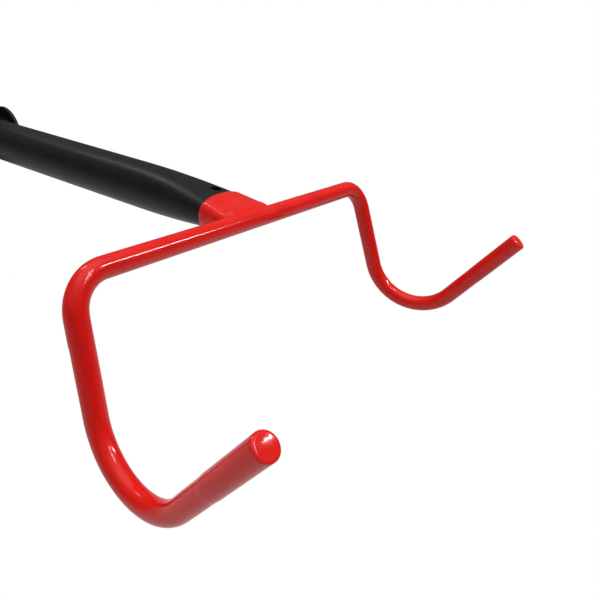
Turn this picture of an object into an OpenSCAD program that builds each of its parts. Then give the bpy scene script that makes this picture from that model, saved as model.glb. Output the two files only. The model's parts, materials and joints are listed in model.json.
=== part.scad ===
// Folding wall hanger for a bicycle: a steel arm that pivots on a wall bracket and
// carries a cradle of two dipped hooks, which hold the bicycle by its top tube.
// Frame: origin on the wall at the height of the arm's axis, X along the crossbar,
// -Y away from the wall, +Z up. The arm is drawn level, ready for use.

/* [Arm] */
// Outer diameter of the arm tube
tube_d = 31.75; // [30:0.25:34]
// Wall thickness of the arm tube
tube_wall = 2; // [1.5:0.1:2.5]
// Distance from the pivot to the centre of the crossbar
arm_reach = 297; // [240:1:340]
// Length over which the front end of the tube is flattened
crimp_len = 84; // [70:1:100]
// Half height of the flattened mouth of the tube
mouth_h = 5.2; // [5:0.1:7]
// Diameter of the vent hole behind the dipped end
vent_d = 7; // [5:0.5:8]
// Distance from the crossbar to the vent hole
vent_back = 33; // [31:0.5:40]

/* [Cradle] */
// Diameter of the bare cradle rod
rod_d = 10; // [8:0.5:10]
// Thickness of the dipped coating
coat_t = 1; // [0.8:0.1:1.2]
// Distance the coating reaches back along the tube from the crossbar
dip_len = 25.5; // [20:0.5:28]
// Half width of the crossbar, to the corners of its centreline
bar_half = 127; // [110:1:140]
// Bend radius of the crossbar corners
corner_r = 20; // [18:1:26]
// Length of each leg, corner to corner
leg_len = 134; // [120:1:150]
// Forward tilt of the legs from plumb
leg_tilt = 19; // [10:1:25]
// Outward splay of the legs
leg_splay = 6; // [0:1:10]
// Bend radius of the hooks
hook_r = 36.5; // [34:0.5:40]
// Length of the rising end of each hook, from its corner
rise_len = 137; // [120:1:150]
// Slope of the rising end above level
rise_slope = 54; // [45:1:65]
// Outward splay of the rising end
rise_splay = 0.75; // [0:0.25:3]

/* [Bracket] */
// Width of the wall plate
plate_w = 50; // [48:1:60]
// Height of the wall plate
plate_h = 150; // [140:1:170]
// Thickness of the wall plate
plate_t = 4; // [3:0.5:5]
// Corner radius of the wall plate
plate_corner = 8; // [4:1:12]
// Distance between the two wall screw holes
screw_gap = 110; // [100:1:120]
// Diameter of the wall screw holes
screw_hole_d = 8.5; // [6:0.5:9]
// Distance from the wall to the pivot
pivot_out = 50; // [49:1:60]
// Thickness of each ear
ear_t = 3; // [2.5:0.5:4]
// Radius of the round nose of each ear
ear_r = 22; // [20:0.5:24]
// Half height of each ear where it meets the wall plate
ear_root = 17; // [15:1:20]
// Throat of the weld along the foot of each ear
ear_weld = 3; // [2:0.5:3]

/* [Pivot] */
// Diameter of the pivot bolt
bolt_d = 10; // [8:1:10]
// Outer diameter of the sleeve welded across the tube
sleeve_d = 16; // [15:0.5:17]
// Radial clearance between the sleeve and the bolt
sleeve_play = 0.08; // [0.05:0.01:0.1]
// Thickness of the nylon washers beside the arm
nylon_t = 1; // [0.8:0.1:1.5]
// Thickness of the steel washers
washer_t = 1.5; // [1:0.1:2]
// Width of the lock nut across its flats
nut_flats = 17; // [16:0.5:18]
// Thickness of the rubber pad that the heel of the arm rests on
pad_t = 3; // [2:0.5:4]

/* [Hidden] */
$fn = 96;

eps = 0.01;
tube_r = tube_d / 2;
bore_r = tube_r - tube_wall;
rod_r = rod_d / 2;
bolt_r = bolt_d / 2;
bar_y = -(pivot_out + arm_reach);

// Across the pivot: the nylon washers touch the ears, and the arm floats between them
thrust_gap = 0.15;
sleeve_half = tube_r + 0.25;
nylon_in = sleeve_half + thrust_gap;
ear_in = nylon_in + nylon_t;
ear_out = ear_in + ear_t;
nylon_r = 13;
washer_r = 10;
washer_bore_r = bolt_r + 0.25;
face_x = ear_out + washer_t;
head_r = 9;
head_h = 4.5;
socket_flats = 6;
socket_deep = 3;
nut_h = 8;
collar_h = 2.5;
collar_r = 7.6;
insert_r = 6.6;
insert_t = 1.8;
thread_out = 2;

// Behind the pivot: the heel of the arm stops just clear of the pad
heel_gap = 0.3;
pad_face = pivot_out - plate_t - pad_t;
heel_r = pad_face - heel_gap;
pad_low = 17;
pad_high = 3;
pad_half = 12;
plug_len = 14;
plug_wall = 2;
plug_face = 6;

// Flattened front end of the tube
mouth_y = 2;
mouth_square = 0.6;
mouth_tuck = 1;
ring_sides = 56;
ring_step = 6;
joint_lap = 1;
joint_tuck = 0.02;
vent_x = 3;
bead_r = 1.2;
bead_back = 0.5;
bead_sunk = 0.3;
weld_half = 12;
tip_round = 2;
tip_steps = 4;
bar_sides = 24;
bend_step = 8;

// Directions along the right-hand half of the cradle: crossbar, leg, rising end
bar_dir = [1, 0, 0];
leg_dir = [sin(leg_splay), -sin(leg_tilt) * cos(leg_splay), -cos(leg_tilt) * cos(leg_splay)];
rise_dir = [
    sin(rise_splay),
    -cos(rise_slope) * cos(rise_splay),
    sin(rise_slope) * cos(rise_splay)
];
corner_reach = corner_r * tan(acos(bar_dir * leg_dir) / 2);
hook_reach = hook_r * tan(acos(leg_dir * rise_dir) / 2);
bar_straight = bar_half - corner_reach;
leg_straight = leg_len - corner_reach - hook_reach;
rise_straight = rise_len - hook_reach;

function unit(v) = v / norm(v);

// Turns vector v by angle a about the unit vector k
function turned(v, k, a) = v * cos(a) + cross(k, v) * sin(a) + k * (k * v) * (1 - cos(a));

// Stations along the bend that starts at [point, direction, side]
function past(at, d) = [at[0] + at[1] * d, at[1], at[2]];
function bend_stations(at, next_dir, bend_r) = let (
    k = unit(cross(at[1], next_dir)),
    centre = at[0] + cross(k, at[1]) * bend_r,
    angle = acos(at[1] * next_dir),
    steps = ceil(angle / bend_step)
) [
    for (i = [0 : steps]) let (a = angle * i / steps)
        [centre + turned(at[0] - centre, k, a), turned(at[1], k, a), turned(at[2], k, a)]
];
corner_stations = bend_stations([[bar_straight, 0, 0], bar_dir, [0, 0, 1]], leg_dir, corner_r);
hook_stations = bend_stations(
    past(corner_stations[len(corner_stations) - 1], leg_straight),
    rise_dir,
    hook_r
);
rise_end = past(hook_stations[len(hook_stations) - 1], rise_straight);
half_stations = concat(corner_stations, hook_stations, [rise_end]);

// A ring of radius r at a station
function ring_at(s, r) = let (y = cross(s[1], s[2])) [
    for (k = [0 : bar_sides - 1]) let (a = 360 * k / bar_sides)
        s[0] + r * (cos(a) * s[2] + sin(a) * y)
];
function round_rings(r, edge) = [
    for (i = [1 : tip_steps]) let (a = 90 * i / tip_steps)
        ring_at(past(rise_end, edge * sin(a)), r - edge * (1 - cos(a)))
];
function flip_x(points) = [for (v = points) [-v[0], v[1], v[2]]];

// The bent bar of the cradle with radius r, its ends rounded by edge
module bent_bar(r, edge) {
    plain = [for (s = half_stations) ring_at(s, r)];
    half = edge > 0 ? concat(plain, round_rings(r, edge)) : plain;
    n = len(half);
    rings = concat([for (i = [n - 1 : -1 : 0]) flip_x(half[i])], half);
    count = len(rings);
    sides = [
        for (i = [0 : count - 2], k = [0 : bar_sides - 1]) let (
            m = (k + 1) % bar_sides,
            a = i * bar_sides,
            b = a + bar_sides
        ) [a + k, b + k, b + m, a + m]
    ];
    first = [for (k = [0 : bar_sides - 1]) k];
    last = [for (k = [bar_sides - 1 : -1 : 0]) (count - 1) * bar_sides + k];
    polyhedron(points = joined(rings), faces = concat(sides, [first, last]));
}

// The space that the crossbar fills, grown by g, where the tube is notched around it
module bar_space(g) {
    translate([-bar_half, 0, 0]) rotate([0, 90, 0]) cylinder(h = 2 * bar_half, r = rod_r + g);
}

// Places its children at the crossbar, with +Y toward the wall
module at_bar() {
    translate([0, bar_y, 0]) children();
}

// Places its children on the pivot axis, with Z along +X
module at_pivot(x) {
    translate([x, -pivot_out, 0]) rotate([0, 90, 0]) children();
}

// How round the tube is at distance y behind the crossbar: 0 at the mouth, 1 when round
function roundness(y) = sin(90 * min(1, y / crimp_len));
function half_height(y) = mouth_h + (tube_r - mouth_h) * roundness(y);
function half_width(y) = let (h = half_height(y))
    sqrt(2 * tube_r * tube_r - h * h) - mouth_tuck * (1 - roundness(y));

// One oval ring of the tube's skin, grown outward by g
function signed_power(v, e) = sign(v) * pow(abs(v), e);
function oval(y, g) = let (
    e = 2 / (2 + mouth_square * (1 - roundness(y))),
    w = half_width(y) + g,
    h = half_height(y) + g
) [
    for (k = [0 : ring_sides - 1]) let (a = 360 * k / ring_sides)
        [w * signed_power(cos(a), e), y, h * signed_power(sin(a), e)]
];
function joined(lists) = [for (l = lists) for (v = l) v];
function band(first, second) = [
    for (k = [0 : ring_sides - 1]) let (n = (k + 1) % ring_sides)
        [first + k, first + n, second + n, second + k]
];
function disc(first) = [for (k = [0 : ring_sides - 1]) first + k];

// The solid outer form of the flattened end, grown by g, between two distances
module crimp_form(from, to, g) {
    steps = ceil((to - from) / ring_step);
    rings = [for (i = [0 : steps]) oval(from + (to - from) * i / steps, g)];
    sides = joined([for (i = [0 : steps - 1]) band(i * ring_sides, (i + 1) * ring_sides)]);
    last = disc(steps * ring_sides);
    front = disc(0);
    back = [for (k = [ring_sides - 1 : -1 : 0]) last[k]];
    polyhedron(points = joined(rings), faces = concat(sides, [back], [front]));
}

module plate_outline() {
    hull_w = plate_w - 2 * plate_corner;
    hull_h = plate_h - 2 * plate_corner;
    square([hull_w, plate_h], center = true);
    square([plate_w, hull_h], center = true);
    for (x = [-1, 1], z = [-1, 1])
        translate([x * hull_w / 2, z * hull_h / 2]) circle(r = plate_corner);
}

module wall_plate() {
    color([0.1, 0.1, 0.11])
    rotate([90, 0, 0]) linear_extrude(plate_t) difference() {
        plate_outline();
        for (z = [-1, 1]) translate([0, z * screw_gap / 2]) circle(d = screw_hole_d);
    }
}

// Flanks of an ear: tangents from its round nose down to the wall plate
module ear_flanks() {
    back = pivot_out - plate_t;
    flank_r = ear_r - 0.05;
    touch = atan2(ear_root, back) + acos(flank_r / norm([back, ear_root]));
    polygon([
        [flank_r * cos(touch), flank_r * sin(touch)],
        [back, ear_root],
        [back, -ear_root],
        [flank_r * cos(touch), -flank_r * sin(touch)]
    ]);
}

module ear(side) {
    color([0.1, 0.1, 0.11])
    translate([side > 0 ? ear_in : -ear_out, -pivot_out, 0]) rotate([90, 0, 90]) difference() {
        union() {
            cylinder(h = ear_t, r = ear_r);
            linear_extrude(ear_t) ear_flanks();
        }
        translate([0, 0, -eps]) cylinder(h = ear_t + 2 * eps, r = washer_bore_r);
    }
}

// Fillet weld along the outer foot of an ear
module ear_fillet(side) {
    color([0.12, 0.12, 0.13])
    translate([side * ear_out, -plate_t, 0]) mirror([side > 0 ? 0 : 1, 0, 0])
        linear_extrude(2 * ear_root - 4, center = true)
            difference() {
                polygon([[0, 0], [ear_weld, 0], [0, -ear_weld]]);
                translate([ear_weld * 1.6, -ear_weld * 1.6]) circle(r = ear_weld * 1.75);
            }
}

module heel_pad() {
    color([0.05, 0.05, 0.05])
    translate([-pad_half, -plate_t - pad_t, -pad_low])
        cube([2 * pad_half, pad_t, pad_low + pad_high]);
}

module hex_socket() {
    translate([0, 0, head_h - socket_deep])
        cylinder(h = socket_deep + eps, d = socket_flats / cos(30), $fn = 6);
}

module pivot_bolt() {
    tail = face_x + nut_h + collar_h + thread_out;
    color([0.75, 0.76, 0.78]) {
        at_pivot(-tail) cylinder(h = tail + face_x, r = bolt_r);
        at_pivot(face_x) difference() {
            rotate_extrude() intersection() {
                square([head_r, head_h]);
                translate([0, head_h - 12]) circle(r = 12);
            }
            hex_socket();
        }
    }
}

module ring(x, h, outer, inner) {
    at_pivot(x) difference() {
        cylinder(h = h, r = outer);
        translate([0, 0, -eps]) cylinder(h = h + 2 * eps, r = inner);
    }
}

module head_washer() {
    color([0.75, 0.76, 0.78]) ring(ear_out, washer_t, washer_r, washer_bore_r);
}

module nut_washer() {
    color([0.75, 0.76, 0.78]) ring(-face_x, washer_t, washer_r, washer_bore_r);
}

module lock_nut() {
    insert_at = nut_h + collar_h - insert_t - 0.4;
    color([0.75, 0.76, 0.78])
    at_pivot(-face_x) mirror([0, 0, 1]) difference() {
        union() {
            cylinder(h = nut_h, d = nut_flats / cos(30), $fn = 6);
            cylinder(h = nut_h + collar_h, r = collar_r);
        }
        translate([0, 0, -eps]) cylinder(h = nut_h + collar_h + 2 * eps, r = bolt_r);
        translate([0, 0, insert_at]) cylinder(h = insert_t, r = insert_r);
    }
}

module nut_insert() {
    insert_at = nut_h + collar_h - insert_t - 0.4;
    color([0.2, 0.35, 0.7]) ring(-face_x - insert_at - insert_t, insert_t, insert_r, bolt_r);
}

module nylon_washer(side) {
    color([0.09, 0.09, 0.09])
    ring(side > 0 ? nylon_in : -ear_in, nylon_t, nylon_r, washer_bore_r);
}

// Everything the rear end of the arm may fill: square below the axis, round above it,
// so that the end turns clear of the pad as the arm folds up
module heel_space() {
    at_pivot(-tube_d) cylinder(h = 2 * tube_d, r = heel_r);
    translate([-tube_d, bar_y, -tube_d]) cube([2 * tube_d, arm_reach + heel_r, tube_d]);
    translate([-tube_d, bar_y, -tube_d]) cube([2 * tube_d, arm_reach, 2 * tube_d]);
}

// The round part of the tube as a solid bar of radius r, run over both its ends by over
module straight_tube(r, over) {
    translate([0, bar_y + crimp_len - over, 0]) rotate([-90, 0, 0])
        cylinder(h = arm_reach + heel_r - crimp_len + 2 * over, r = r);
}

module arm_tube() {
    color([0.09, 0.09, 0.1])
    difference() {
        union() {
            intersection() {
                difference() {
                    straight_tube(tube_r, 0);
                    straight_tube(bore_r, 1);
                }
                heel_space();
            }
            at_bar() difference() {
                crimp_form(mouth_y, crimp_len + joint_lap, -joint_tuck);
                crimp_form(mouth_y - 1, crimp_len + joint_lap + 1, joint_tuck - tube_wall);
            }
        }
        at_pivot(-tube_d) cylinder(h = 2 * tube_d, d = sleeve_d);
        at_bar() bar_space(0);
        at_bar() translate([vent_x, vent_back, 0]) cylinder(h = tube_d, d = vent_d);
    }
}

module pivot_sleeve() {
    color([0.6, 0.6, 0.62])
    ring(-sleeve_half, 2 * sleeve_half, sleeve_d / 2, bolt_r + sleeve_play);
}

// Weld ring that fills the saddle between the sleeve and the side of the tube
module sleeve_weld(side) {
    width = 1.6;
    deep = 4;
    shy = 0.1;
    color([0.12, 0.12, 0.13])
    difference() {
        ring(
            side > 0 ? sleeve_half - deep : -sleeve_half + shy,
            deep - shy,
            sleeve_d / 2 + width,
            sleeve_d / 2
        );
        straight_tube(tube_r, 0);
    }
}

module end_plug() {
    color([0.06, 0.06, 0.06])
    intersection() {
        translate([0, -pivot_out + heel_r - plug_len, 0]) rotate([-90, 0, 0]) difference() {
            cylinder(h = plug_len + heel_r, r = bore_r);
            translate([0, 0, -eps])
                cylinder(h = plug_len - plug_face, r = bore_r - plug_wall);
        }
        heel_space();
    }
}

module cradle_rod() {
    color([0.55, 0.55, 0.57])
    at_bar() bent_bar(rod_r, 0);
}

// The round of a weld bead along a lip of the tube's mouth, grown by g
module bead_form(side, g) {
    translate([-weld_half - g, mouth_y + bead_back, side * (mouth_h - bead_sunk)])
        rotate([0, 90, 0]) cylinder(h = 2 * (weld_half + g), r = bead_r + g);
}

// Weld bead in the groove between the crossbar and a lip of the tube's mouth
module mouth_weld(side) {
    floor_h = mouth_h - 2 * bead_sunk;
    color([0.12, 0.12, 0.13])
    at_bar() difference() {
        bead_form(side, 0);
        bar_space(0);
        crimp_form(mouth_y, crimp_len, 0);
        translate([-weld_half - 1, mouth_y - 2 * bead_r, -floor_h])
            cube([2 * weld_half + 2, 6 * bead_r, 2 * floor_h]);
    }
}

// The dipped skin over the rod of the cradle, closed over both ends and open where the
// mouth of the tube meets the crossbar
module cradle_coating() {
    color([0.82, 0.11, 0.09])
    at_bar() difference() {
        bent_bar(rod_r + coat_t, tip_round);
        bent_bar(rod_r / cos(180 / bar_sides), 0);
        crimp_form(mouth_y, dip_len, 0);
        for (side = [-1, 1]) bead_form(side, 0);
    }
}

// The same skin where it runs on over the mouth of the tube
module mouth_coating() {
    color([0.82, 0.11, 0.09])
    at_bar() difference() {
        union() {
            crimp_form(mouth_y, dip_len, coat_t);
            for (side = [-1, 1]) bead_form(side, coat_t);
        }
        crimp_form(mouth_y - 1, dip_len + 1, 0);
        bar_space(coat_t);
        for (side = [-1, 1]) bead_form(side, 0);
    }
}

wall_plate();
ear(-1);  // ear_left
ear(1);  // ear_right
ear_fillet(-1);  // ear_weld_left
ear_fillet(1);  // ear_weld_right
heel_pad();
pivot_bolt();
head_washer();
nut_washer();
lock_nut();
nut_insert();
nylon_washer(-1);  // nylon_washer_left
nylon_washer(1);  // nylon_washer_right
arm_tube();
pivot_sleeve();
sleeve_weld(-1);  // sleeve_weld_left
sleeve_weld(1);  // sleeve_weld_right
end_plug();
cradle_rod();
mouth_weld(1);  // mouth_weld_top
mouth_weld(-1);  // mouth_weld_bottom
cradle_coating();
mouth_coating();
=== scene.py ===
"""Folding wall hanger for a bicycle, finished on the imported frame. Units are metres.

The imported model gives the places; the pieces here replace the plain tube, plate, ears,
welds, bolt, nut and dipped skin with detailed ones, and every node gets its material.
"""
import json
import math

import bmesh
import bpy
from mathutils import Matrix, Vector, noise


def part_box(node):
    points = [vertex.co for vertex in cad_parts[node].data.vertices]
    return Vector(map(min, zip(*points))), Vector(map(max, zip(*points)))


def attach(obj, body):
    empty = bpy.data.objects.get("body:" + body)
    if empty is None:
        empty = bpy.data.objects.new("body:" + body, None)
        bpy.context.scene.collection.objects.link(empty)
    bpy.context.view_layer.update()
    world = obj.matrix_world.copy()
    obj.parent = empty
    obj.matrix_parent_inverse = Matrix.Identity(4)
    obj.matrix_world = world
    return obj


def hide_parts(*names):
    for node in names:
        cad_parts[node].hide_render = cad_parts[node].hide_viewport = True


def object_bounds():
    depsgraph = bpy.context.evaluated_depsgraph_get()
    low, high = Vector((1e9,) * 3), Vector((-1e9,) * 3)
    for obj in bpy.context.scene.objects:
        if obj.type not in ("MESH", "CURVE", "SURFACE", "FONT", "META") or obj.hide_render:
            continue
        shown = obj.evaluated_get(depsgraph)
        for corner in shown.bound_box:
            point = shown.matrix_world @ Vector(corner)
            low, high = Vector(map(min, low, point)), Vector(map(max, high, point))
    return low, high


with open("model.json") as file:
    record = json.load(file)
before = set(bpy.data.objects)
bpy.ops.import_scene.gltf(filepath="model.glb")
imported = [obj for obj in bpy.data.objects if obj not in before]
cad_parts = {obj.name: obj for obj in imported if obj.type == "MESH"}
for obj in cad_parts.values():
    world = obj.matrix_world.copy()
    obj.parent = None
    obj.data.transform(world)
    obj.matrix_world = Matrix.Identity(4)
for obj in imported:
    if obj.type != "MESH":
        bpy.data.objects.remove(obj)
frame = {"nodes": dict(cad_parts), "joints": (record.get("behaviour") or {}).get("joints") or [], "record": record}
cad_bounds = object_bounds()
MM = 0.001

# ---------------------------------------------------------------- places from the frame


def extent(node):
    """Size of a CAD node's box."""
    low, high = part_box(node)
    return Vector(high) - Vector(low)


PIVOT = Vector(frame["joints"][0]["pos_m"])
PLATE_FACE_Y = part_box("wall_plate")[0][1]
TUBE_R = extent("arm_tube").z / 2
ROD_R = 5 * MM
BAR_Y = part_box("cradle_rod")[1][1] - ROD_R
BAR = Vector((0, BAR_Y, 0))

# ---------------------------------------------------------------- camera
# The camera stands beside the crossbar, on the left, and looks down along the arm.
CAMERA_FROM_BAR = Vector((-264.06, -209.96, 110.42)) * MM
CAMERA_HEADING = 57.21
CAMERA_DIP = 25.67
CAMERA_ROLL = 5.52
CAMERA_LENS = 34.58
CAMERA_SENSOR = 36
CAMERA_NEAR = 0.01
CAMERA_FAR = 50


def make_camera():
    """The view: heading is clockwise from +Y, dip is below level, roll lifts the right side."""
    heading, dip, roll = (math.radians(a) for a in (CAMERA_HEADING, CAMERA_DIP, CAMERA_ROLL))
    data = bpy.data.cameras.new("camera")
    data.lens = CAMERA_LENS
    data.sensor_width = CAMERA_SENSOR
    data.clip_start = CAMERA_NEAR
    data.clip_end = CAMERA_FAR
    camera = bpy.data.objects.new("camera", data)
    bpy.context.scene.collection.objects.link(camera)
    turn = Matrix.Rotation(-heading, 4, "Z") @ Matrix.Rotation(math.pi / 2 - dip, 4, "X")
    camera.matrix_world = (
        Matrix.Translation(BAR + CAMERA_FROM_BAR) @ turn @ Matrix.Rotation(roll, 4, "Z")
    )
    bpy.context.scene.camera = camera


make_camera()

# ---------------------------------------------------------------- materials
WIDE_SPAN = (0.2, 0.8)
NARROW_SPAN = (0.35, 0.65)
NOISE_ROUGHNESS = 0.5
MOULD_GRAIN = 1100
MOULD_BROAD = 120
MOULD_DEPTH = 0.012 * MM
MOULD_VARIES = 0.06


def new_material(name, base, roughness, metallic=0.0):
    """A Principled material and its node tree, ready for detail."""
    material = bpy.data.materials.new(name)
    material.use_nodes = True
    shader = material.node_tree.nodes["Principled BSDF"]
    shader.inputs["Base Color"].default_value = (*base, 1)
    shader.inputs["Roughness"].default_value = roughness
    shader.inputs["Metallic"].default_value = metallic
    return material, shader


def noise_node(material, scale, detail, stretch=(1, 1, 1)):
    """Noise over the object's own coordinates; scale is in features per metre."""
    tree = material.node_tree
    coords = tree.nodes.new("ShaderNodeTexCoord")
    mapping = tree.nodes.new("ShaderNodeMapping")
    mapping.inputs["Scale"].default_value = stretch
    texture = tree.nodes.new("ShaderNodeTexNoise")
    texture.inputs["Scale"].default_value = scale
    texture.inputs["Detail"].default_value = detail
    texture.inputs["Roughness"].default_value = NOISE_ROUGHNESS
    tree.links.new(coords.outputs["Object"], mapping.inputs["Vector"])
    tree.links.new(mapping.outputs["Vector"], texture.inputs["Vector"])
    return texture


def add_bump(material, shader, source, depth):
    """Bump of a given depth in metres."""
    tree = material.node_tree
    bump = tree.nodes.new("ShaderNodeBump")
    bump.inputs["Strength"].default_value = 1.0
    bump.inputs["Distance"].default_value = depth
    tree.links.new(source.outputs["Fac"], bump.inputs["Height"])
    tree.links.new(bump.outputs["Normal"], shader.inputs["Normal"])


def vary(material, shader, source, socket, low, high, span=NARROW_SPAN):
    """Lets a scalar input wander between low and high with the noise."""
    tree = material.node_tree
    spread = tree.nodes.new("ShaderNodeMapRange")
    spread.inputs["From Min"].default_value = span[0]
    spread.inputs["From Max"].default_value = span[1]
    spread.inputs["To Min"].default_value = low
    spread.inputs["To Max"].default_value = high
    spread.interpolation_type = "SMOOTHSTEP"
    tree.links.new(source.outputs["Fac"], spread.inputs["Value"])
    tree.links.new(spread.outputs["Result"], shader.inputs[socket])


def tint(material, shader, source, first, second, span=NARROW_SPAN):
    """Lets the base colour wander between two colours with the noise."""
    tree = material.node_tree
    ramp = tree.nodes.new("ShaderNodeValToRGB")
    ramp.color_ramp.interpolation = "EASE"
    ramp.color_ramp.elements[0].position = span[0]
    ramp.color_ramp.elements[1].position = span[1]
    ramp.color_ramp.elements[0].color = (*first, 1)
    ramp.color_ramp.elements[1].color = (*second, 1)
    tree.links.new(source.outputs["Fac"], ramp.inputs["Fac"])
    tree.links.new(ramp.outputs["Color"], shader.inputs["Base Color"])


def red_vinyl():
    """Glossy dipped vinyl with a faint orange peel and a slightly uneven red."""
    material, shader = new_material("red_vinyl", (0.70, 0.007, 0.004), 0.13)
    shader.inputs["Specular IOR Level"].default_value = 0.45
    slow = noise_node(material, 40, detail=1.0)
    peel = noise_node(material, 260, detail=1.0)
    tint(material, shader, slow, (0.66, 0.006, 0.0035), (0.73, 0.010, 0.005), span=WIDE_SPAN)
    add_bump(material, shader, peel, 0.012 * MM)
    vary(material, shader, slow, "Roughness", 0.10, 0.17, span=WIDE_SPAN)
    return material


def black_powder():
    """Semi-gloss black powder coat with its fine pebbled skin."""
    material, shader = new_material("black_powder", (0.0070, 0.0076, 0.0076), 0.36)
    shader.inputs["Specular IOR Level"].default_value = 0.25
    grain = noise_node(material, 1500, detail=2.0)
    broad = noise_node(material, 45, detail=2.0)
    tint(material, shader, broad, (0.0060, 0.0066, 0.0066), (0.0085, 0.0092, 0.0094), span=WIDE_SPAN)
    add_bump(material, shader, grain, 0.008 * MM)
    vary(material, shader, broad, "Roughness", 0.31, 0.38, span=WIDE_SPAN)
    return material


def zinc_plate():
    """Bright zinc with a faint turned grain and a little staining."""
    material, shader = new_material("zinc_plate", (0.62, 0.63, 0.65), 0.28, metallic=1.0)
    grain = noise_node(material, 900, detail=4.0, stretch=(0.15, 1, 1))
    stain = noise_node(material, 220, detail=3.0)
    tint(material, shader, stain, (0.52, 0.53, 0.55), (0.70, 0.71, 0.72))
    add_bump(material, shader, grain, 0.01 * MM)
    vary(material, shader, stain, "Roughness", 0.22, 0.38)
    return material


def bare_steel():
    """Drawn steel rod and tube, as it looks under the coating."""
    material, shader = new_material("bare_steel", (0.42, 0.42, 0.43), 0.4, metallic=1.0)
    grain = noise_node(material, 600, detail=4.0)
    tint(material, shader, grain, (0.36, 0.36, 0.37), (0.47, 0.47, 0.48))
    add_bump(material, shader, grain, 0.01 * MM)
    vary(material, shader, grain, "Roughness", 0.32, 0.48)
    return material


def moulded(name, first, second, rough):
    """A moulded plastic or rubber with a fine matt grain."""
    material, shader = new_material(name, first, rough)
    grain = noise_node(material, MOULD_GRAIN, detail=2.0)
    broad = noise_node(material, MOULD_BROAD, detail=2.0)
    tint(material, shader, broad, first, second)
    add_bump(material, shader, grain, MOULD_DEPTH)
    vary(material, shader, broad, "Roughness", rough - MOULD_VARIES, rough + MOULD_VARIES)
    return material


MATERIALS = {
    "red_dip": red_vinyl(),
    "black_powder": black_powder(),
    "zinc_steel": zinc_plate(),
    "bare_steel": bare_steel(),
    "black_nylon": moulded("black_nylon", (0.010, 0.010, 0.010), (0.016, 0.016, 0.016), 0.45),
    "nut_nylon": moulded("nut_nylon", (0.05, 0.09, 0.30), (0.06, 0.11, 0.36), 0.4),
    "plug_plastic": moulded("plug_plastic", (0.016, 0.016, 0.017), (0.024, 0.024, 0.026), 0.5),
    "pad_rubber": moulded("pad_rubber", (0.018, 0.018, 0.018), (0.028, 0.027, 0.026), 0.75),
}


def paint(piece, slot):
    """Gives a piece its one material, the one listed under the slot key."""
    piece.data.materials.clear()
    piece.data.materials.append(MATERIALS[slot])


# ---------------------------------------------------------------- mesh helpers


def add_piece(name, mesh, slot, body, *nodes, sharp=None):
    """Links a mesh as a piece: its material, its body and the CAD nodes it stands for."""
    piece = bpy.data.objects.new(name, mesh)
    bpy.context.scene.collection.objects.link(piece)
    for polygon in mesh.polygons:
        polygon.use_smooth = True
    if sharp is not None:
        mesh.set_sharp_from_angle(angle=math.radians(sharp))
    paint(piece, slot)
    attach(piece, body)
    if nodes:
        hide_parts(*nodes)
    return piece


def mesh_from(bm, name):
    """Turns a bmesh into a mesh with its faces turned outward."""
    bmesh.ops.recalc_face_normals(bm, faces=bm.faces)
    mesh = bpy.data.meshes.new(name)
    bm.to_mesh(mesh)
    bm.free()
    return mesh


def loft(bm, rings, closed=False):
    """Skins equal rings of points with quads, then joins the last ring to the first or,
    left open, fills both end rings."""
    rows = [[bm.verts.new(point) for point in ring] for ring in rings]
    count = len(rows[0])
    pairs = list(zip(rows, rows[1:]))
    if closed:
        pairs.append((rows[-1], rows[0]))
    for first, second in pairs:
        for k in range(count):
            n = (k + 1) % count
            bm.faces.new((first[k], first[n], second[n], second[k]))
    if not closed:
        bm.faces.new(list(reversed(rows[0])))
        bm.faces.new(rows[-1])


def angles(count):
    """Equal angles round a circle."""
    return [2 * math.pi * k / count for k in range(count)]


def smooth_step(x):
    """0 below 0, 1 above 1, and an S curve between."""
    x = min(1.0, max(0.0, x))
    return x * x * (3 - 2 * x)


def wander(x, y=0.0, z=0.0):
    """Smooth fixed noise between about -1 and 1."""
    return noise.noise(Vector((x, y, z)))


# ---------------------------------------------------------------- cradle centreline
BAR_HALF = 127 * MM
CORNER_R = 20 * MM
LEG_LENGTH = 134 * MM
LEG_TILT = 19
LEG_SPLAY = 6
HOOK_R = 36.5 * MM
RISE_LENGTH = 137 * MM
RISE_SLOPE = 54
RISE_SPLAY = 0.75
STRAIGHT_STEP = 1.5 * MM
BEND_STEP = math.radians(3)


def leg_direction():
    """The right leg's direction, down and out from the crossbar."""
    tilt, splay = math.radians(LEG_TILT), math.radians(LEG_SPLAY)
    return Vector((math.sin(splay), -math.sin(tilt) * math.cos(splay), -math.cos(tilt) * math.cos(splay)))


def rise_direction():
    """The right hook's direction, up and out to its tip."""
    slope, splay = math.radians(RISE_SLOPE), math.radians(RISE_SPLAY)
    return Vector((math.sin(splay), -math.cos(slope) * math.cos(splay), math.sin(slope) * math.cos(splay)))


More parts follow.
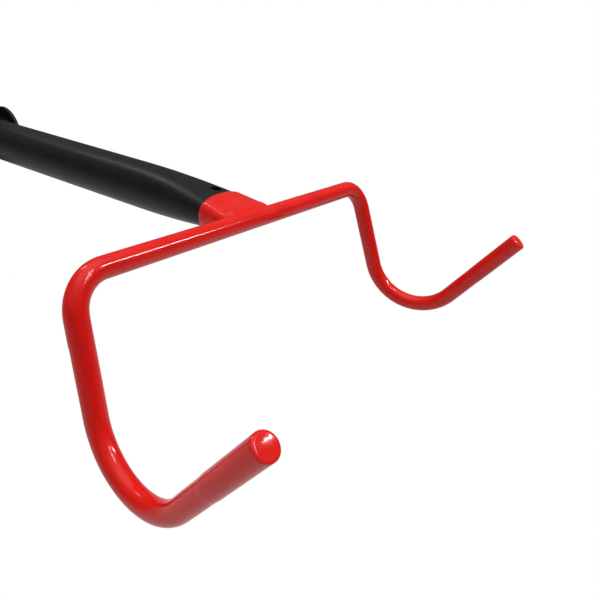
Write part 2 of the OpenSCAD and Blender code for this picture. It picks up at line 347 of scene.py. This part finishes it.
def right_half_path():
    """Stations (point, direction, side, distance) from the middle of the crossbar to a tip."""
    directions = [Vector((1, 0, 0)), leg_direction(), rise_direction()]
    lengths = [BAR_HALF, LEG_LENGTH, RISE_LENGTH]
    radii = [CORNER_R, HOOK_R]
    turns = [directions[i].angle(directions[i + 1]) for i in range(2)]
    reaches = [radii[i] * math.tan(turns[i] / 2) for i in range(2)]
    straights = [
        lengths[0] - reaches[0],
        lengths[1] - reaches[0] - reaches[1],
        lengths[2] - reaches[1],
    ]
    point, side, distance = BAR.copy(), Vector((0, 0, 1)), 0.0
    stations = []
    for i, direction in enumerate(directions):
        steps = max(1, round(straights[i] / STRAIGHT_STEP))
        for k in range(steps):
            along = straights[i] * k / steps
            stations.append((point + direction * along, direction, side.copy(), distance + along))
        point = point + direction * straights[i]
        distance += straights[i]
        if i == 2:
            stations.append((point, direction, side.copy(), distance))
            break
        axis = direction.cross(directions[i + 1]).normalized()
        centre = point + axis.cross(direction) * radii[i]
        steps = max(1, round(turns[i] / BEND_STEP))
        for k in range(steps):
            turn = Matrix.Rotation(turns[i] * k / steps, 3, axis)
            spot = centre + turn @ (point - centre)
            stations.append((spot, turn @ direction, turn @ side, distance + radii[i] * turns[i] * k / steps))
        whole = Matrix.Rotation(turns[i], 3, axis)
        point = centre + whole @ (point - centre)
        side = whole @ side
        distance += radii[i] * turns[i]
    return stations


HALF_PATH = right_half_path()
TIP_AT = HALF_PATH[-1][3]

# ---------------------------------------------------------------- dipped skin on the rod
SKIN_SIDES = 40
BAR_SKIN = 0.65 * MM
LEG_SKIN = 0.76 * MM
HOOK_SKIN = 1.0 * MM
STEP_FROM_TIP = 42 * MM
STEP_LONG = 3 * MM
RUN_LONG = 23 * MM
TIP_ROUND = 1.8 * MM
TIP_LONG = 2.0 * MM
TIP_EDGE_HIGH = 1.15 * MM
TIP_CROWN = 0.25 * MM
TIP_LEAN = 0.95 * MM
TIP_EDGE_RINGS = 8
TIP_FACE_RINGS = 10
TIP_MIDDLE = 0.96
TIP_PINCH = 0.12 * MM
TIP_OVAL = 0.035
FULLER_BEFORE = 18 * MM
FULLER_OVER = 30 * MM
STEP_LEFT_SHARE = 1.0
STEP_RIGHT_SHARE = 0.6
LEG_WAVE = 0.06 * MM
LEG_WAVES = 45
RUN_SWELL = 18 * MM
RUN_STOP = 3 * MM
RUN_SHARPNESS = 1.4
WOBBLE = 0.05 * MM
WOBBLES = 60
WOBBLE_ROUND = 1.3
WOBBLE_OVER = 20 * MM


def skin_radius(side, distance):
    """Radius over the coat: thin along the crossbar, fuller down the legs, and with the soft
    step near each tip where the second dip ended."""
    fuller = smooth_step((distance - BAR_HALF + FULLER_BEFORE) / FULLER_OVER)
    twice = smooth_step((distance - TIP_AT + STEP_FROM_TIP) / STEP_LONG)
    radius = ROD_R + BAR_SKIN + (LEG_SKIN - BAR_SKIN) * fuller
    radius += (HOOK_SKIN - LEG_SKIN) * twice * (STEP_LEFT_SHARE if side < 0 else STEP_RIGHT_SHARE)
    return radius + LEG_WAVE * wander(distance * LEG_WAVES, side * 3.7) * fuller * (1 - twice)


def run_of_vinyl(side, distance, angle):
    """The thicker run on the outside of the left corner, which ends in a small step."""
    if side > 0:
        return 0.0
    swell = smooth_step((distance - BAR_HALF) / RUN_SWELL)
    stop = 1 - smooth_step((distance - BAR_HALF - RUN_LONG) / RUN_STOP)
    return (HOOK_SKIN - LEG_SKIN) * swell * stop * smooth_step(math.cos(angle) * RUN_SHARPNESS)


def skin_rings(side):
    """Rings of the coated rod from the middle of the crossbar to one tip."""
    rings = []
    turns = angles(SKIN_SIDES)
    for point, direction, across, distance in HALF_PATH:
        other = direction.cross(across)
        base = skin_radius(side, distance)
        ring = []
        for angle in turns:
            cosine, sine = math.cos(angle), math.sin(angle)
            waves = wander(distance * WOBBLES, cosine * WOBBLE_ROUND + 9 * side, sine * WOBBLE_ROUND)
            wobble = WOBBLE * waves * smooth_step((distance - BAR_HALF) / WOBBLE_OVER)
            radius = min(base + wobble + run_of_vinyl(side, distance, angle), ROD_R + HOOK_SKIN)
            ring.append(point + radius * (cosine * across + sine * other))
        rings.append(ring)
    rings += tip_rings(side)
    if side < 0:
        rings = [[Vector((-v.x, v.y, v.z)) for v in ring] for ring in rings]
    return rings


def tip_rings(side):
    """The end of the dip: a rounded edge and a low crowned face, pinched as it dried."""
    point, direction, across, distance = HALF_PATH[-1]
    other = direction.cross(across)
    rim = skin_radius(side, distance)
    profile = []
    for i in range(1, TIP_EDGE_RINGS + 1):
        sweep = math.pi / 2 * i / TIP_EDGE_RINGS
        profile.append((rim - TIP_ROUND * (1 - math.cos(sweep)), TIP_EDGE_HIGH * math.sin(sweep)))
    edge = rim - TIP_ROUND
    for i in range(1, TIP_FACE_RINGS + 1):
        part = 1 - TIP_MIDDLE * i / TIP_FACE_RINGS
        profile.append((edge * part, TIP_EDGE_HIGH + TIP_CROWN * (1 - part * part)))
    rings = []
    for radius, height in profile:
        ring = []
        share = smooth_step(height / TIP_LONG)
        for angle in angles(SKIN_SIDES):
            cosine, sine = math.cos(angle), math.sin(angle)
            u, v = radius / rim * cosine, radius / rim * sine
            pinch = TIP_PINCH * wander(1.1 * u + 5 * side, 1.1 * v, 3.0) + TIP_LEAN * v
            reach = min(height + pinch * share, TIP_LONG)
            oval_edge = 1 - TIP_OVAL * share * (1 + math.cos(2 * angle + side))
            outward = radius * oval_edge * (cosine * across + sine * other)
            ring.append(point + direction * reach + outward)
        rings.append(ring)
    return rings


def cradle_skin():
    """The whole dipped rod as one closed skin, tip to tip."""
    right = skin_rings(1)
    left = skin_rings(-1)
    bm = bmesh.new()
    loft(bm, list(reversed(left))[:-1] + right)
    return add_piece("cradle_skin", mesh_from(bm, "cradle_skin"), "red_dip", "arm", "cradle_coating")


# ---------------------------------------------------------------- tube and its flattened mouth
CRIMP_LENGTH = 100 * MM
CRIMP_POWER = 2.2
MOUTH_HALF_HEIGHT = 5.2 * MM
MOUTH_TUCK = 1 * MM
MOUTH_SQUARE = 1.0
TUBE_SIDES = 96
WALL = 2 * MM
VENT_X = 3 * MM
VENT_BACK = 33 * MM
VENT_R = 3.5 * MM
VENT_SIDES = 48
DIP_LENGTH = 25.5 * MM
TUBE_FROM = 8 * MM
TUBE_PAST_PIVOT = 20 * MM
CRIMP_STEP = 2 * MM
TUBE_STEP = 8 * MM
MERGE_GAP = 0.002 * MM


def roundness(y):
    """0 at the flattened mouth, 1 where the tube is round; y is behind the crossbar."""
    return 1 - (1 - min(1.0, max(0.0, y) / CRIMP_LENGTH)) ** CRIMP_POWER


def squarish(value, power):
    """A sine or cosine raised to a power that squares the section, its sign kept."""
    return math.copysign(abs(value) ** power, value)


def oval(y, grow, count, place=None):
    """A ring of the tube's section at y, grown outward; place moves it along the tube."""
    part = roundness(y)
    height = MOUTH_HALF_HEIGHT + (TUBE_R - MOUTH_HALF_HEIGHT) * part
    width = math.sqrt(2 * TUBE_R * TUBE_R - height * height) - MOUTH_TUCK * (1 - part)
    power = 2 / (2 + MOUTH_SQUARE * (1 - part))
    ring = []
    for angle in angles(count):
        x = (width + grow) * squarish(math.cos(angle), power)
        z = (height + grow) * squarish(math.sin(angle), power)
        ring.append(BAR + Vector((x, y if place is None else place(angle), z)))
    return ring


def tube_lengths():
    """Stations along the tube, closer together over the flattened part."""
    stop = PIVOT.y - BAR_Y + TUBE_PAST_PIVOT
    stations = [TUBE_FROM]
    while stations[-1] < stop:
        stations.append(stations[-1] + (CRIMP_STEP if stations[-1] < CRIMP_LENGTH else TUBE_STEP))
    return stations


def heel_reach(z):
    """How far behind the pivot the end of the tube reaches at height z: square below the
    axis and round above it."""
    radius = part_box("arm_tube")[1][1] - PIVOT.y
    return radius if z <= 0 else math.sqrt(max(0.0, radius * radius - z * z))


def heel_ring(radius):
    """The cut rear end of the tube."""
    ring = []
    for angle in angles(TUBE_SIDES):
        z = radius * math.sin(angle)
        ring.append(Vector((radius * math.cos(angle), PIVOT.y + heel_reach(z), z)))
    return ring


def arm_tube():
    """The powder-coated tube with its wall, cut heel and vent hole."""
    bm = bmesh.new()
    outside = [oval(y, 0, TUBE_SIDES) for y in tube_lengths()] + [heel_ring(TUBE_R)]
    inside = [heel_ring(TUBE_R - WALL)]
    inside += [oval(y, -WALL, TUBE_SIDES) for y in reversed(tube_lengths())]
    loft(bm, outside + inside, closed=True)
    mesh = mesh_from(bm, "tube")
    cut = bmesh.new()
    bmesh.ops.create_cone(
        cut, cap_ends=True, segments=VENT_SIDES, radius1=VENT_R, radius2=VENT_R, depth=TUBE_R
    )
    bmesh.ops.translate(cut, verts=cut.verts, vec=BAR + Vector((VENT_X, VENT_BACK, TUBE_R * 0.7)))
    mesh = cut_away(mesh, mesh_from(cut, "vent_cut"))
    return add_piece("tube", mesh, "black_powder", "arm", "arm_tube", sharp=35)


def cut_away(mesh, tool):
    """The mesh less the tool, by an exact boolean, with its shortest edges merged."""
    body = bpy.data.objects.new("cut_from", mesh)
    cutter = bpy.data.objects.new("cut_by", tool)
    for item in (body, cutter):
        bpy.context.scene.collection.objects.link(item)
    boolean = body.modifiers.new("cut", "BOOLEAN")
    boolean.operation = "DIFFERENCE"
    boolean.solver = "EXACT"
    boolean.object = cutter
    bpy.context.view_layer.update()
    evaluated = body.evaluated_get(bpy.context.evaluated_depsgraph_get())
    result = bpy.data.meshes.new_from_object(evaluated)
    for item in (body, cutter):
        bpy.data.objects.remove(item)
    clean = bmesh.new()
    clean.from_mesh(result)
    bmesh.ops.remove_doubles(clean, verts=clean.verts, dist=MERGE_GAP)
    bmesh.ops.dissolve_degenerate(clean, edges=clean.edges, dist=MERGE_GAP)
    clean.to_mesh(result)
    clean.free()
    return result


MOUTH_SIDES = 96
MOUTH_SKIN = 0.9 * MM
BLEND_FROM = 9 * MM
BLEND_STEPS = 12
FLARE = 0.3 * MM
WELD_COVER = 0.65 * MM
SKIN_INSET = 0.05 * MM
SKIN_UNDER = 0.5 * MM
LANDING = 1.2
LANDING_SINK = 0.03 * MM
LEAVE = 9 * MM
ARRIVE = 6 * MM
COVER_POWER = 1.5
DIP_STEPS = 16
DIP_EDGE_LONG = 3.5 * MM
DIP_WANDER = 0.35 * MM
DIP_EDGE = ((0.42, 0.25), (0.25, 0.45), (0.0, 0.58), (-0.8, 0.72), (-2.2, 0.85))
DIP_EDGE_INSIDE = 0.45 * MM


def dip_line(angle):
    """Where the dip ends round the tube: a level line with a slight wander."""
    return DIP_LENGTH + DIP_WANDER * wander(math.cos(angle) * 1.5, math.sin(angle) * 1.5, 4.0)


def dip_ring(back, grow):
    """A ring that follows the dip line, a distance behind it."""
    return oval(DIP_LENGTH, grow, MOUTH_SIDES, place=lambda angle: dip_line(angle) + back)


def mouth_skin():
    """The skin over the tube's mouth: a proud rounded edge at the dip line, the flattened
    form, and a fillet that lies down on the crossbar. It is a closed shell round the mouth."""
    outside = [dip_ring(back * MM, grow * MM) for back, grow in DIP_EDGE]
    outside += straight_rings(DIP_LENGTH - DIP_EDGE_LONG, MOUTH_SKIN)
    outside += blend_rings(outside[-1], 0, WELD_COVER)
    inside = [dip_ring(DIP_EDGE_INSIDE, -SKIN_INSET)]
    inside += straight_rings(DIP_LENGTH - DIP_EDGE_LONG, -SKIN_INSET)
    inside += blend_rings(inside[-1], SKIN_UNDER, 0)
    bm = bmesh.new()
    loft(bm, outside + list(reversed(inside)), closed=True)
    return add_piece("mouth_skin", mesh_from(bm, "mouth_skin"), "red_dip", "arm", "mouth_coating")


def straight_rings(first, grow):
    """Rings along the flattened mouth, from behind to where the blend starts."""
    places = [first + (BLEND_FROM - first) * i / DIP_STEPS for i in range(DIP_STEPS + 1)]
    return [oval(place, grow, MOUTH_SIDES) for place in places]


def blend_rings(start, under, cover):
    """Rings that carry a surface of the mouth's skin forward and down onto the crossbar."""
    bar_r = ROD_R + BAR_SKIN - LANDING_SINK - under
    half_width = max(point.x for point in start)
    power = 2 / (2 + MOUTH_SQUARE)
    leave = Vector((0, -1, 0)) * LEAVE
    rings = [[] for _ in range(BLEND_STEPS)]
    for k, angle in enumerate(angles(MOUTH_SIDES)):
        across = squarish(math.cos(angle), power)
        up = squarish(math.sin(angle), power)
        lift = math.asin(max(-1.0, min(1.0, LANDING * up)))
        landing = Vector(((half_width + FLARE) * across, bar_r * math.cos(lift), bar_r * math.sin(lift)))
        heading = Vector((across, -abs(up) * math.sin(abs(lift)), up * math.cos(lift)))
        arrive = heading.normalized() * ARRIVE
        for i in range(BLEND_STEPS):
            part = (i + 1) / BLEND_STEPS
            over_weld = cover * up * math.sin(math.pi * part) ** COVER_POWER
            point = hermite(start[k], leave, BAR + landing, arrive, part)
            rings[i].append(point + Vector((0, 0, over_weld)))
    return rings


def hermite(start, leave, stop, arrive, part):
    """A point on the cubic from start to stop with the given end tangents."""
    square, cube = part ** 2, part ** 3
    return (
        start * (2 * cube - 3 * square + 1) + leave * (cube - 2 * square + part)
        + stop * (3 * square - 2 * cube) + arrive * (cube - square)
    )


cradle_skin()
arm_tube()
mouth_skin()

# ---------------------------------------------------------------- wall plate and ears
PLATE_CORNER = 8 * MM
PLATE_BEVEL = 0.8 * MM
EAR_BEVEL = 0.5 * MM
EAR_ROOT = 17 * MM
ARC_STEPS = 12
HOLE_SIDES = 48
SOFT_SEGMENTS = 3
SOFT_FROM = 30
BOLT_R = 5 * MM
BORE_R = BOLT_R + 0.25 * MM


def arc(centre, radius, start, stop, steps):
    """Points on an arc in a plane, angles in radians, both ends included."""
    turns = [start + (stop - start) * k / steps for k in range(steps + 1)]
    return [(centre[0] + radius * math.cos(t), centre[1] + radius * math.sin(t)) for t in turns]


def rounded_rectangle(width, height, radius):
    """Outline of a rectangle about the origin with round corners."""
    points = []
    for quarter, (x, z) in enumerate(((1, 1), (-1, 1), (-1, -1), (1, -1))):
        centre = (x * (width / 2 - radius), z * (height / 2 - radius))
        start = quarter * math.pi / 2
        points += arc(centre, radius, start, start + math.pi / 2, ARC_STEPS)
    return points


def sheet_part(name, outline, thickness, to_space, holes):
    """A flat part cut from sheet, with holes; to_space places a point
    given in the plane and the depth."""
    bm = bmesh.new()
    near = [bm.verts.new(to_space(u, v, 0)) for u, v in outline]
    far = [bm.verts.new(to_space(u, v, thickness)) for u, v in outline]
    bm.faces.new(near)
    bm.faces.new(list(reversed(far)))
    for k in range(len(outline)):
        n = (k + 1) % len(outline)
        bm.faces.new((near[k], near[n], far[n], far[k]))
    mesh = mesh_from(bm, name)
    for u, v, radius in holes:
        cut = bmesh.new()
        ring = [(u + radius * math.cos(t), v + radius * math.sin(t)) for t in angles(HOLE_SIDES)]
        loft(cut, [[to_space(x, y, depth) for x, y in ring] for depth in (-MM, thickness + MM)])
        mesh = cut_away(mesh, mesh_from(cut, name + "_hole"))
    return mesh


def soften(piece, width):
    """Rounds a piece's sharp edges."""
    bevel = piece.modifiers.new("soft_edges", "BEVEL")
    bevel.width = width
    bevel.segments = SOFT_SEGMENTS
    bevel.limit_method = "ANGLE"
    bevel.angle_limit = math.radians(SOFT_FROM)
    bevel.harden_normals = True


def wall_plate():
    """The flat plate with its two screw holes."""
    size = extent("wall_plate")
    pattern = next(m for m in frame["record"]["mounts"] if m["name"] == "wall_screws")
    half_gap = pattern["dims"]["spacing_y_mm"] / 2 * MM
    hole_r = pattern["dims"]["hole_r_mm"] * MM
    mesh = sheet_part(
        "plate",
        rounded_rectangle(size.x, size.z, PLATE_CORNER),
        size.y,
        lambda u, v, depth: Vector((u, -depth, v)),
        [(0, half_gap, hole_r), (0, -half_gap, hole_r)],
    )
    soften(add_piece("plate", mesh, "black_powder", "bracket", "wall_plate"), PLATE_BEVEL)


def ear_outline():
    """Round nose on the pivot and straight flanks to the plate; u runs toward the wall."""
    radius = extent("ear_left").z / 2
    back = PLATE_FACE_Y - PIVOT.y
    touch = math.atan2(EAR_ROOT, back) + math.acos(radius / math.hypot(back, EAR_ROOT))
    return arc((0, 0), radius, touch, 2 * math.pi - touch, 4 * ARC_STEPS) + [
        (back, -EAR_ROOT),
        (back, EAR_ROOT),
    ]


def ear(name, node):
    """One ear of the bracket, with the bolt hole through it."""
    low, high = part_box(node)
    mesh = sheet_part(
        name,
        ear_outline(),
        high[0] - low[0],
        lambda u, v, depth: Vector((low[0] + depth, PIVOT.y + u, v)),
        [(0, 0, BORE_R)],
    )
    soften(add_piece(name, mesh, "black_powder", "bracket", node), EAR_BEVEL)


RIPPLE = 1.7 * MM
RIPPLE_DEPTH = 0.14 * MM
RIPPLE_DRIFT = 0.4
BEAD_STEP = 0.28 * MM
BEAD_END = 0.02
BELLY = 0.62
BELLY_WANDER = 0.03


def bead_section(belly):
    """The weld's section as shares of its leg, from the corner out and round its face."""
    return [
        (0.0, 0.0), (1.0, 0.0), (0.86, 0.2), (belly, belly * 0.78),
        (0.4, belly * 0.9), (0.2, 0.86), (0.0, 1.0),
    ]


def bead(name, node, corner, across, out, end_to_end, leg):
    """A rippled fillet weld in the corner between two faces, along Z."""
    bm = bmesh.new()
    rings = []
    count = round(end_to_end / BEAD_STEP)
    for i in range(count + 1):
        along = end_to_end * (i / count - 0.5)
        fade = math.sqrt(max(BEAD_END, 1 - abs(2 * i / count - 1) ** 10))
        wave = abs(math.sin(math.pi * along / RIPPLE + RIPPLE_DRIFT * wander(along * 300)))
        size = (leg - RIPPLE_DEPTH + RIPPLE_DEPTH * wave) * fade
        belly = BELLY + BELLY_WANDER * wander(along * 200, 5.0)
        spot = corner + Vector((0, 0, along))
        rings.append([spot + across * (u * size) + out * (v * size) for u, v in bead_section(belly)])
    loft(bm, rings)
    add_piece(name, mesh_from(bm, name), "black_powder", "bracket", node, sharp=50)


def ear_welds():
    """The welds along the outer foot of each ear."""
    for name, node, ear_node, side in (
        ("weld_left", "ear_weld_left", "ear_left", -1),
        ("weld_right", "ear_weld_right", "ear_right", 1),
    ):
        size = extent(node)
        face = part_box(ear_node)[1][0] if side > 0 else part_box(ear_node)[0][0]
        bead(
            name, node, Vector((face, PLATE_FACE_Y, 0)), Vector((side, 0, 0)), Vector((0, -1, 0)),
            size.z, size.x,
        )


# ---------------------------------------------------------------- pivot hardware
TURN_SIDES = 72
TURN_SHARP = 35
EDGE = 0.25 * MM
NYLON_EDGE = 0.2 * MM
THREAD_PITCH = 1.5 * MM
THREAD_DEPTH = 0.75 * MM
THREAD_STEP = 0.1 * MM
THREAD_PAST_NUT = 3 * MM
LEAD_LONG = 1.2 * MM
LEAD_TURN_DOWN = 0.5 * MM
TAIL_R = BOLT_R - THREAD_DEPTH * 1.4
DOME_R = 12 * MM
DOME_STEPS = 12
SOCKET_FLATS = 6 * MM
SOCKET_DEEP = 3 * MM
SOCKET_POINT = 0.8 * MM
SOCKET_POINT_SHARE = 0.3


def pivot_ring(x, radii):
    """A ring about the pivot axis at x; radii gives the radius at each angle."""
    return [
        Vector((x, PIVOT.y + radius * math.cos(angle), PIVOT.z + radius * math.sin(angle)))
        for angle, radius in zip(angles(len(radii)), radii)
    ]


def round_ring(x, radius):
    """A round ring about the pivot axis at x."""
    return pivot_ring(x, [radius] * TURN_SIDES)


def washer(name, node, slot, edge):
    """A washer with its edges broken."""
    low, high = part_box(node)
    near, far, outer = low[0], high[0], (high[2] - low[2]) / 2
    profile = (
        (near, BORE_R + edge), (near, outer - edge), (near + edge, outer), (far - edge, outer),
        (far, outer - edge), (far, BORE_R + edge), (far - edge, BORE_R), (near + edge, BORE_R),
    )
    bm = bmesh.new()
    loft(bm, [round_ring(x, radius) for x, radius in profile], closed=True)
    add_piece(name, mesh_from(bm, name), slot, "bracket", node, sharp=TURN_SHARP)


def thread_rings(tail, stop):
    """Rings of the threaded tail from its end, with the thread fading in."""
    rings = []
    steps = round((stop - tail) / THREAD_STEP)
    for i in range(steps + 1):
        x = tail + (stop - tail) * i / steps
        lead_in = min(1.0, (x - tail) / LEAD_LONG + 0.1)
        radii = []
        for angle in angles(TURN_SIDES):
            phase = (x / THREAD_PITCH + angle / (2 * math.pi)) % 1
            crest = min(1.0, max(0.0, 1.25 - abs(2 * phase - 1) * 1.5))
            radii.append(BOLT_R - THREAD_DEPTH * (1 - crest * lead_in) - (1 - lead_in) * LEAD_TURN_DOWN)
        rings.append(pivot_ring(x, radii))
    return rings


def dome_rings(seat, height, radius):
    """Rings of the bolt's low round head, from its edge to its middle."""
    rings = []
    opening = math.atan2(radius, math.sqrt(DOME_R * DOME_R - radius * radius))
    for k in range(DOME_STEPS + 1):
        angle = opening * (1 - k / DOME_STEPS)
        rise = height - DOME_R + DOME_R * math.cos(angle)
        rings.append(round_ring(seat + max(rise, 2 * EDGE), max(DOME_R * math.sin(angle), EDGE)))
    return rings


def hex_socket(mouth):
    """The cutter for the hexagon socket, with its drilled point; mouth is the head's top."""
    corner = SOCKET_FLATS / math.sqrt(3)
    stations = (
        (mouth - SOCKET_DEEP - SOCKET_POINT, SOCKET_POINT_SHARE),
        (mouth - SOCKET_DEEP, 1.0),
        (mouth + MM, 1.0),
    )
    bm = bmesh.new()
    loft(bm, [pivot_ring(x, [share * corner] * 6) for x, share in stations])
    return mesh_from(bm, "socket")


def pivot_bolt():
    """The low round-headed bolt: hex socket, plain shank, threaded tail."""
    low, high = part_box("pivot_bolt")
    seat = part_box("head_washer")[1][0]
    head_height, head_r = high[0] - seat, (high[2] - low[2]) / 2
    thread_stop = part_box("lock_nut")[0][0] + THREAD_PAST_NUT
    rings = [round_ring(low[0], TAIL_R)]
    rings += thread_rings(low[0], thread_stop)
    rings.append(round_ring(thread_stop, BOLT_R))
    rings.append(round_ring(seat, BOLT_R))
    rings.append(round_ring(seat, head_r - EDGE))
    rings.append(round_ring(seat + EDGE, head_r))
    rings += dome_rings(seat, head_height, head_r)
    bm = bmesh.new()
    loft(bm, rings)
    mesh = cut_away(mesh_from(bm, "bolt"), hex_socket(high[0]))
    add_piece("bolt", mesh, "zinc_steel", "bracket", "pivot_bolt", sharp=TURN_SHARP)


NUT_FLATS = 17 * MM
NUT_BODY = 8 * MM
NUT_SHARP = 28
COLLAR_R = 7.6 * MM
CHAMFER_FROM = NUT_FLATS / 2 * 0.97
CHAMFER_DEEP = NUT_FLATS / math.sqrt(3) - CHAMFER_FROM
CHAMFER_STEPS = 5
CHAMFER_BACK = 0.58
CHAMFER_FACE = 0.4


def hexagon(limit):
    """Radii of the nut's hexagon at each angle, no larger than a limit."""
    sector = math.pi / 3
    return [
        min(NUT_FLATS / 2 / math.cos((angle % sector) - sector / 2), limit) for angle in angles(TURN_SIDES)
    ]


def chamfer_ring(x, step):
    """A ring of the nut where its chamfer has opened by a number of steps."""
    return pivot_ring(x, hexagon(CHAMFER_FROM + CHAMFER_DEEP * step / CHAMFER_STEPS))


def lock_nut():
    """The lock nut: chamfered hexagon, round collar, bore."""
    low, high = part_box("lock_nut")
    face, end = high[0], low[0]
    shoulder = face - NUT_BODY
    rings = [
        round_ring(end + 0.3 * MM, BOLT_R),
        round_ring(end, BOLT_R + 0.3 * MM),
        round_ring(end, COLLAR_R - 1.0 * MM),
        round_ring(end + 0.3 * MM, COLLAR_R - 0.35 * MM),
        round_ring(end + 1.0 * MM, COLLAR_R),
        round_ring(shoulder - 0.1 * MM, COLLAR_R),
        chamfer_ring(shoulder, 0),
    ]
    for k in range(1, CHAMFER_STEPS + 1):
        rings.append(chamfer_ring(shoulder + CHAMFER_DEEP * CHAMFER_BACK * k / CHAMFER_STEPS, k))
    for k in range(CHAMFER_STEPS, -1, -1):
        rings.append(chamfer_ring(face - CHAMFER_DEEP * CHAMFER_FACE * k / CHAMFER_STEPS, k))
    rings.append(round_ring(face, BOLT_R + 0.4 * MM))
    rings.append(round_ring(face - 0.4 * MM, BOLT_R))
    bm = bmesh.new()
    loft(bm, rings, closed=True)
    add_piece("nut", mesh_from(bm, "nut"), "zinc_steel", "bracket", "lock_nut", sharp=NUT_SHARP)


wall_plate()
ear("ear_l", "ear_left")
ear("ear_r", "ear_right")
ear_welds()
pivot_bolt()
lock_nut()
washer("washer_head", "head_washer", "zinc_steel", EDGE)
washer("washer_nut", "nut_washer", "zinc_steel", EDGE)
washer("slip_left", "nylon_washer_left", "black_nylon", NYLON_EDGE)
washer("slip_right", "nylon_washer_right", "black_nylon", NYLON_EDGE)

# ---------------------------------------------------------------- CAD nodes that stay
for entry in frame["record"]["subparts"]:
    node = frame["nodes"][entry["node"]]
    node.data.materials.clear()
    node.data.materials.append(MATERIALS[entry["material_slot"]])

# ---------------------------------------------------------------- floor and light
FLOOR_DROP = 0.5
FLOOR_HALF = 60
FLOOR_ALBEDO = 0.66
FLOOR_ROUGHNESS = 0.9
SOFT_LIGHT = (1.2, 1.2)
OVERHEAD_POWER = 12
FILL_POWER = 5
WORLD_STOPS = ((0.0, 0.10), (0.30, 0.12), (0.50, 0.22), (0.75, 0.26), (0.88, 0.8), (1.0, 1.0))


def white_to_camera(tree, shader_out, target):
    """Shows plain white behind the object and leaves the light on the object as it is."""
    path = tree.nodes.new("ShaderNodeLightPath")
    on_material = target.node.type == "OUTPUT_MATERIAL"
    white = tree.nodes.new("ShaderNodeEmission" if on_material else "ShaderNodeBackground")
    white.inputs["Color"].default_value = (1, 1, 1, 1)
    white.inputs["Strength"].default_value = 1.0
    mix = tree.nodes.new("ShaderNodeMixShader")
    tree.links.new(path.outputs["Is Camera Ray"], mix.inputs["Fac"])
    tree.links.new(shader_out, mix.inputs[1])
    tree.links.new(white.outputs[0], mix.inputs[2])
    tree.links.new(mix.outputs[0], target)


def make_floor():
    """A plain pale floor below the hooks."""
    level = cad_bounds[0].z - FLOOR_DROP
    bm = bmesh.new()
    for x, y in ((-1, -1), (1, -1), (1, 1), (-1, 1)):
        bm.verts.new((x * FLOOR_HALF, y * FLOOR_HALF, level))
    bm.faces.new(bm.verts)
    mesh = mesh_from(bm, "floor")
    floor = bpy.data.objects.new("floor", mesh)
    bpy.context.scene.collection.objects.link(floor)
    material, shader = new_material("floor_paper", (FLOOR_ALBEDO,) * 3, FLOOR_ROUGHNESS)
    tree = material.node_tree
    white_to_camera(tree, shader.outputs[0], tree.nodes["Material Output"].inputs["Surface"])
    floor.data.materials.append(material)


def area_light(name, place, aim, size, power):
    """A rectangular soft light at a place, aimed at a point."""
    data = bpy.data.lights.new(name, "AREA")
    data.shape = "RECTANGLE"
    data.size, data.size_y = size
    data.energy = power
    light = bpy.data.objects.new(name, data)
    bpy.context.scene.collection.objects.link(light)
    light.location = place
    light.rotation_mode = "QUATERNION"
    light.rotation_quaternion = (Vector(aim) - Vector(place)).to_track_quat("-Z", "Y")
    return light


def strip_light(name, first, second, width, power, aim):
    """A thin strip between two points, facing a third."""
    first, second, aim = Vector(first), Vector(second), Vector(aim)
    centre = (first + second) / 2
    along = (second - first).normalized()
    back = (centre - aim).normalized()
    across = back.cross(along).normalized()
    back = along.cross(across)
    light = area_light(name, centre, aim, ((second - first).length, width), power)
    turn = Matrix((along, across, back)).transposed()
    light.rotation_quaternion = turn.to_quaternion()


def make_world():
    """A studio surround: bright overhead and dim to the sides."""
    world = bpy.data.worlds.new("studio")
    bpy.context.scene.world = world
    world.use_nodes = True
    tree = world.node_tree
    coords = tree.nodes.new("ShaderNodeTexCoord")
    split = tree.nodes.new("ShaderNodeSeparateXYZ")
    ramp = tree.nodes.new("ShaderNodeValToRGB")
    tree.links.new(coords.outputs["Generated"], split.inputs["Vector"])
    tree.links.new(split.outputs["Z"], ramp.inputs["Fac"])
    background = tree.nodes["Background"]
    tree.links.new(ramp.outputs["Color"], background.inputs["Color"])
    white_to_camera(tree, background.outputs[0], tree.nodes["World Output"].inputs["Surface"])
    elements = ramp.color_ramp.elements
    while len(elements) < len(WORLD_STOPS):
        elements.new(0.5)
    for element, (place, level) in zip(elements, WORLD_STOPS):
        element.position = place
        element.color = (level, level, level, 1)
    background.inputs["Strength"].default_value = 1.0


make_floor()
make_world()
ARM_MIDDLE = BAR + Vector((0, 0.3, 0))
overhead = area_light("overhead", BAR + Vector((0.1, 0.25, 1.5)), BAR, SOFT_LIGHT, OVERHEAD_POWER)
overhead.visible_glossy = False
fill = area_light("fill", BAR + Vector((-1.6, 0.7, 0.5)), ARM_MIDDLE, SOFT_LIGHT, FILL_POWER)
fill.visible_glossy = False
for name, first, second, width, power in (
    ("strip", (0.55, -0.95, 0.95), (0.98, -0.76, 0.76), 0.03, 6.5),
    ("strip_front", (0.00, -1.10, 0.95), (0.00, -0.50, 1.30), 0.025, 2.5),
    ("strip_front_two", (0.16, -1.10, 0.95), (0.16, -0.50, 1.30), 0.02, 2.0),
    ("strip_rear", (0.04, 0.88, 1.20), (-0.10, 1.25, 0.95), 0.10, 1.3),
):
    strip_light(name, BAR + Vector(first), BAR + Vector(second), width, power, BAR)
bpy.context.scene.view_settings.view_transform = "Standard"
bpy.context.scene.view_settings.look = "None"
